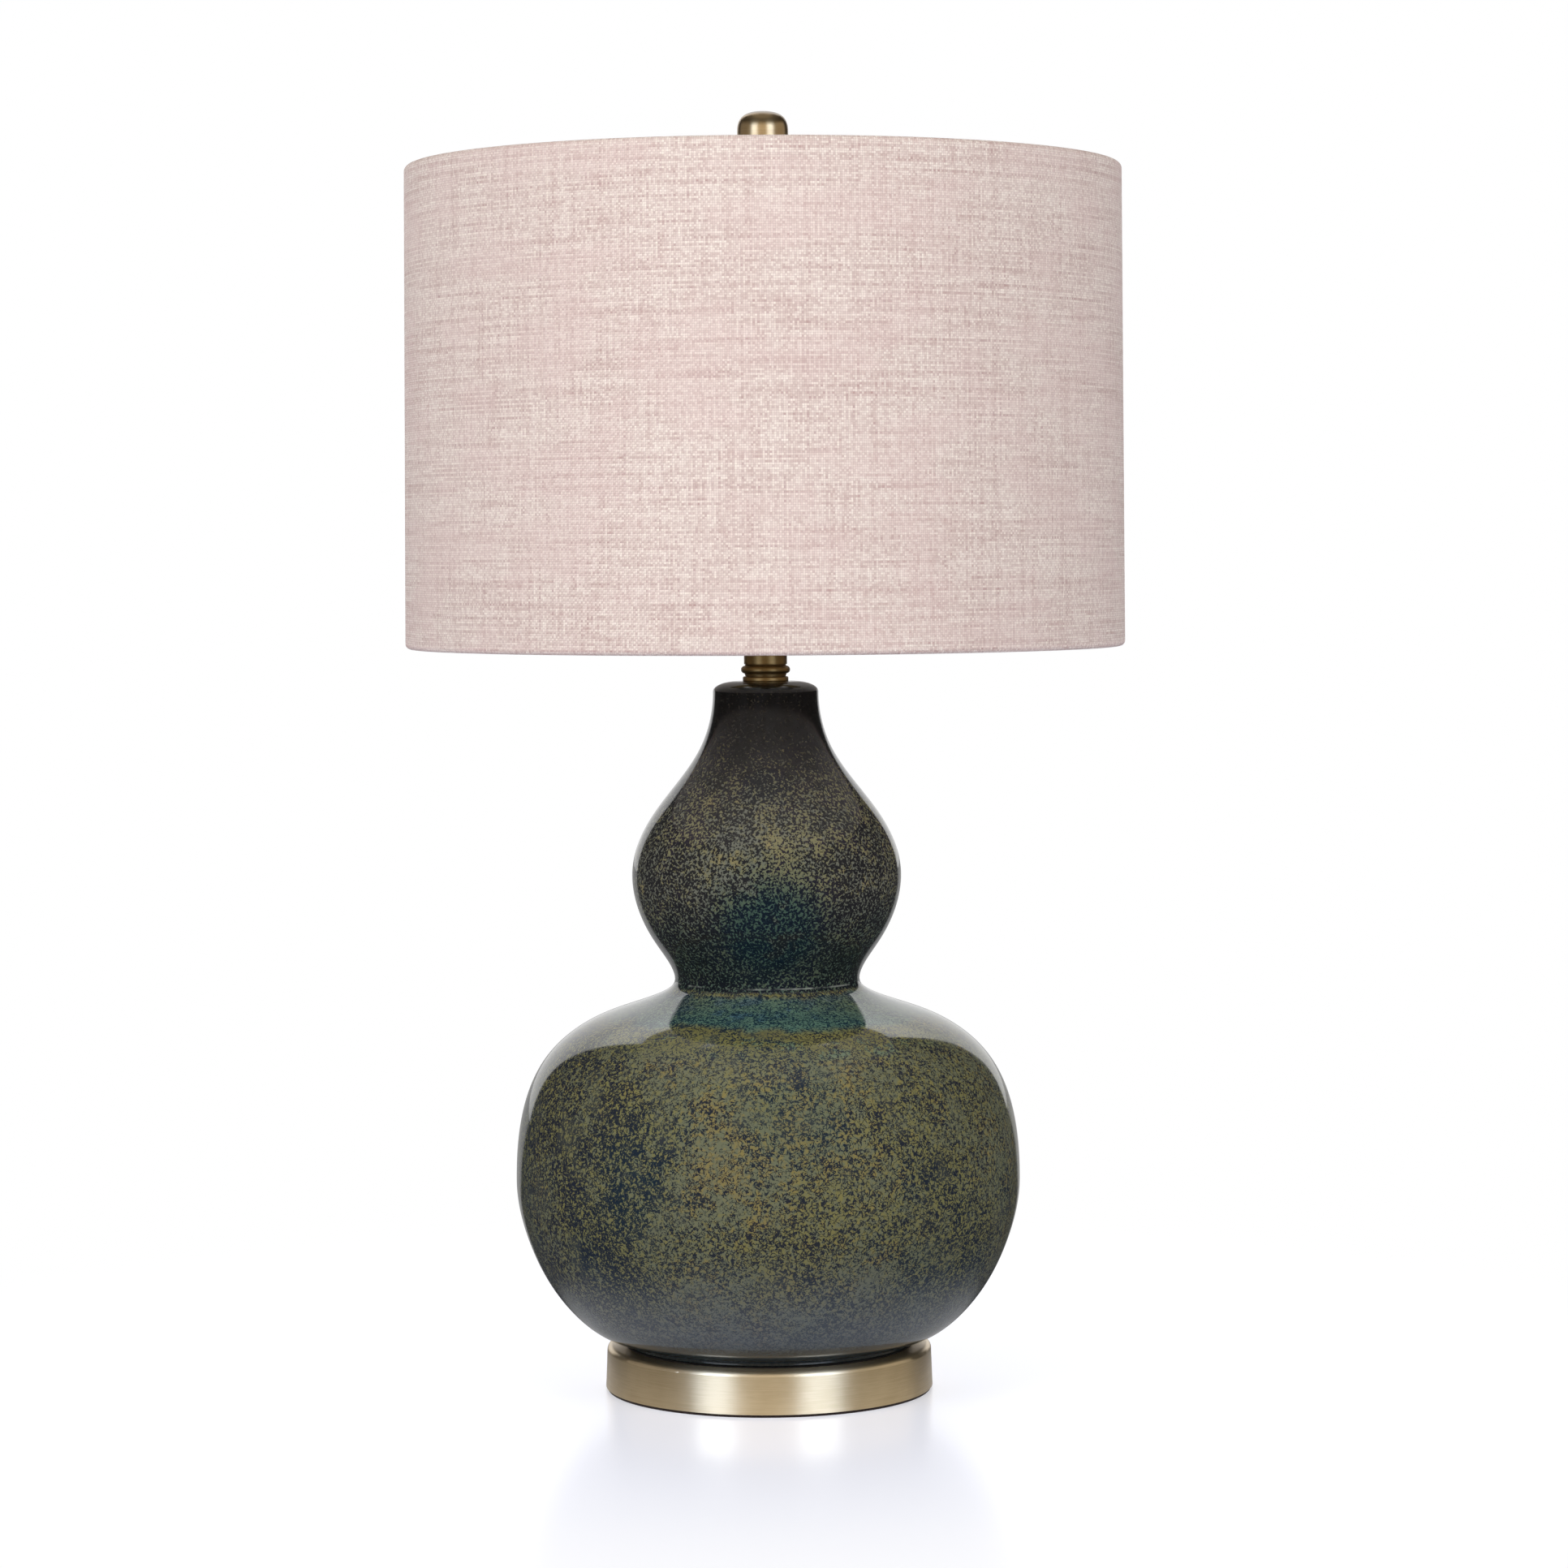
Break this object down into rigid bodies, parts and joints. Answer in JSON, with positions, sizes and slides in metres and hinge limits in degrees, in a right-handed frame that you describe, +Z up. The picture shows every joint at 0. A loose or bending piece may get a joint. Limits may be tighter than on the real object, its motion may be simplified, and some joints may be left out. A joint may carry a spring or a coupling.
{
  "type": "table lamp",
  "caption": "Double gourd ceramic table lamp on a brass drum base, with a brass neck, a harp that carries a linen drum shade, and a brass finial.",
  "frame": {"origin": "middle of the underside of the base pad", "axes": "+Z up along the lamp's axis, the front (switch knob) faces -Y, the cord inlet faces +Y, the harp lies in the XZ plane"},
  "size_m": [0.3826, 0.3825, 0.6815],
  "materials": {
    "felt": "black pressed felt",
    "satin_brass": "satin antique brass, finely brushed round the axis",
    "black_plastic": "moulded black nylon",
    "zinc_steel": "zinc-plated steel",
    "gasket_rubber": "thin black rubber",
    "glaze": "glossy mottled glaze in dark teal, olive and tan",
    "harp_brass": "brass-plated steel",
    "socket_brass": "drawn brass shell",
    "fibre": "insulating fibre sleeve",
    "phenolic": "moulded black phenolic",
    "tinned_metal": "drawn aluminium",
    "contact_brass": "bright brass contact metal",
    "bulb_glass": "frosted white glass",
    "black_glass": "fused black glass",
    "linen": "plain-weave linen in pinkish beige, with slubs",
    "liner_sheet": "white styrene sheet",
    "white_wire": "white enamelled wire"
  },
  "bodies": {
    "stand": {"base_pad": "felt", "base_cover": "satin_brass", "cord_bushing": "black_plastic", "base_washer": "zinc_steel", "lock_washer": "zinc_steel", "base_nut": "zinc_steel", "foot_gasket": "gasket_rubber", "ceramic_body": "glaze", "threaded_rod": "zinc_steel", "neck_washer": "satin_brass", "neck_bead": "satin_brass", "neck_tube": "satin_brass", "harp_saddle": "harp_brass", "socket_cap": "socket_brass", "cap_set_screw": "zinc_steel", "socket_shell": "socket_brass", "socket_sleeve": "fibre", "socket_interior": "phenolic", "screw_shell": "tinned_metal", "centre_contact": "contact_brass", "terminal_screws": "contact_brass"},
    "switch": {"switch_stem": "contact_brass", "switch_knob": "phenolic"},
    "bulb": {"bulb_glass": "bulb_glass", "bulb_cap": "tinned_metal", "bulb_insulator": "black_glass", "bulb_contact": "tinned_metal"},
    "harp": {"harp_legs": "harp_brass", "harp_top_plate": "harp_brass"},
    "ferrule_left": {"ferrule_left": "harp_brass"},
    "ferrule_right": {"ferrule_right": "harp_brass"},
    "stud": {"finial_stud": "harp_brass"},
    "shade": {"shade_fabric": "linen", "shade_liner": "liner_sheet", "shade_top_ring": "white_wire", "shade_bottom_ring": "white_wire", "spider_arms": "white_wire", "spider_hub": "white_wire"},
    "finial": {"finial": "satin_brass"}
  },
  "joints": [
    {"name": "switch_turn", "type": "hinge", "parent": "stand", "child": "switch", "pos_m": [0, -0.02, 0.4325], "axis": [0, -1, 0], "continuous": true},
    {"name": "bulb_unscrew", "type": "slide", "parent": "stand", "child": "bulb", "axis": [0, 0, 1], "range_m": [0, 0.03]},
    {"name": "harp_lift", "type": "slide", "parent": "stand", "child": "harp", "axis": [0, 0, 1], "range_m": [0, 0.04]},
    {"name": "ferrule_left_lift", "type": "slide", "parent": "harp", "child": "ferrule_left", "axis": [0, 0, 1], "range_m": [0, 0.016]},
    {"name": "ferrule_right_lift", "type": "slide", "parent": "harp", "child": "ferrule_right", "axis": [0, 0, 1], "range_m": [0, 0.016]},
    {"name": "stud_turn", "type": "hinge", "parent": "harp", "child": "stud", "pos_m": [0, 0, 0.6415], "axis": [0, 0, 1], "continuous": true},
    {"name": "shade_lift", "type": "slide", "parent": "stud", "child": "shade", "axis": [0, 0, 1], "range_m": [0, 0.26]},
    {"name": "finial_unscrew", "type": "slide", "parent": "shade", "child": "finial", "axis": [0, 0, 1], "range_m": [0, 0.022]}
  ]
}
